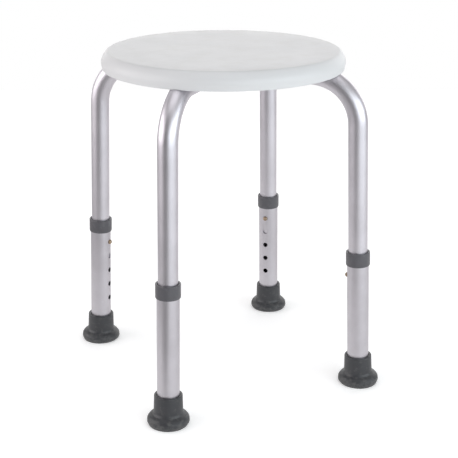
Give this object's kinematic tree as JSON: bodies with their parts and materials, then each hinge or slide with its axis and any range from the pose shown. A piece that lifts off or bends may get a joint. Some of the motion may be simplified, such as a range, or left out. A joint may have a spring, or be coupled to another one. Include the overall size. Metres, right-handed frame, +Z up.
{
  "type": "shower stool",
  "caption": "Round moulded plastic seat on crossed bent aluminium tubes, with telescopic legs set by snap buttons and flared rubber feet.",
  "frame": {"origin": "on the floor, under the middle of the seat", "axes": "+Z up through the middle of the seat; the four legs stand on the diagonals of X and Y, and -Y is the front"},
  "size_m": [0.3358, 0.3358, 0.448],
  "materials": {
    "seat_plastic": "white polyethylene with a fine moulded grain, soft sheen",
    "tube_aluminium": "satin anodised, brushed along the tube",
    "collar_plastic": "dark grey nylon, smooth",
    "foot_rubber": "dark grey rubber, matt",
    "button_brass": "plain brass, slightly dulled",
    "insert_brass": "turned brass",
    "spring_steel": "spring steel strip",
    "screw_steel": "stainless steel"
  },
  "bodies": {
    "frame": {"seat": "seat_plastic", "seat_screws": "screw_steel", "seat_washers": "screw_steel", "seat_inserts": "insert_brass", "bent_tube_lower": "tube_aluminium", "bent_tube_upper": "tube_aluminium", "crossing_bolt": "screw_steel", "crossing_washers": "screw_steel", "crossing_nut": "screw_steel", "snap_spring_front_left": "spring_steel", "snap_spring_front_right": "spring_steel", "snap_spring_rear_right": "spring_steel", "snap_spring_rear_left": "spring_steel"},
    "leg_front_left": {"leg_tube_front_left": "tube_aluminium", "leg_collar_front_left": "collar_plastic", "foot_front_left": "foot_rubber", "foot_washer_front_left": "screw_steel"},
    "button_front_left": {"snap_button_front_left": "button_brass"},
    "leg_front_right": {"leg_tube_front_right": "tube_aluminium", "leg_collar_front_right": "collar_plastic", "foot_front_right": "foot_rubber", "foot_washer_front_right": "screw_steel"},
    "button_front_right": {"snap_button_front_right": "button_brass"},
    "leg_rear_right": {"leg_tube_rear_right": "tube_aluminium", "leg_collar_rear_right": "collar_plastic", "foot_rear_right": "foot_rubber", "foot_washer_rear_right": "screw_steel"},
    "button_rear_right": {"snap_button_rear_right": "button_brass"},
    "leg_rear_left": {"leg_tube_rear_left": "tube_aluminium", "leg_collar_rear_left": "collar_plastic", "foot_rear_left": "foot_rubber", "foot_washer_rear_left": "screw_steel"},
    "button_rear_left": {"snap_button_rear_left": "button_brass"}
  },
  "joints": [
    {"name": "leg_slide_front_left", "type": "slide", "parent": "frame", "child": "leg_front_left", "axis": [0.0284, 0.0284, 0.9992], "range_m": [0, 0.088], "deforming": ["snap_button_front_left"]},
    {"name": "button_press_front_left", "type": "slide", "parent": "frame", "child": "button_front_left", "axis": [-0.7065, -0.7065, 0.0401], "range_m": [0, 0.0048], "stiffness_N_per_m": 2500, "deforming": ["snap_spring_front_left"]},
    {"name": "leg_slide_front_right", "type": "slide", "parent": "frame", "child": "leg_front_right", "axis": [-0.0284, 0.0284, 0.9992], "range_m": [0, 0.088], "deforming": ["snap_button_front_right"]},
    {"name": "button_press_front_right", "type": "slide", "parent": "frame", "child": "button_front_right", "axis": [0.7065, -0.7065, 0.0401], "range_m": [0, 0.0048], "stiffness_N_per_m": 2500, "deforming": ["snap_spring_front_right"]},
    {"name": "leg_slide_rear_right", "type": "slide", "parent": "frame", "child": "leg_rear_right", "axis": [-0.0284, -0.0284, 0.9992], "range_m": [0, 0.088], "deforming": ["snap_button_rear_right"]},
    {"name": "button_press_rear_right", "type": "slide", "parent": "frame", "child": "button_rear_right", "axis": [0.7065, 0.7065, 0.0401], "range_m": [0, 0.0048], "stiffness_N_per_m": 2500, "deforming": ["snap_spring_rear_right"]},
    {"name": "leg_slide_rear_left", "type": "slide", "parent": "frame", "child": "leg_rear_left", "axis": [0.0284, -0.0284, 0.9992], "range_m": [0, 0.088], "deforming": ["snap_button_rear_left"]},
    {"name": "button_press_rear_left", "type": "slide", "parent": "frame", "child": "button_rear_left", "axis": [-0.7065, 0.7065, 0.0401], "range_m": [0, 0.0048], "stiffness_N_per_m": 2500, "deforming": ["snap_spring_rear_left"]}
  ]
}
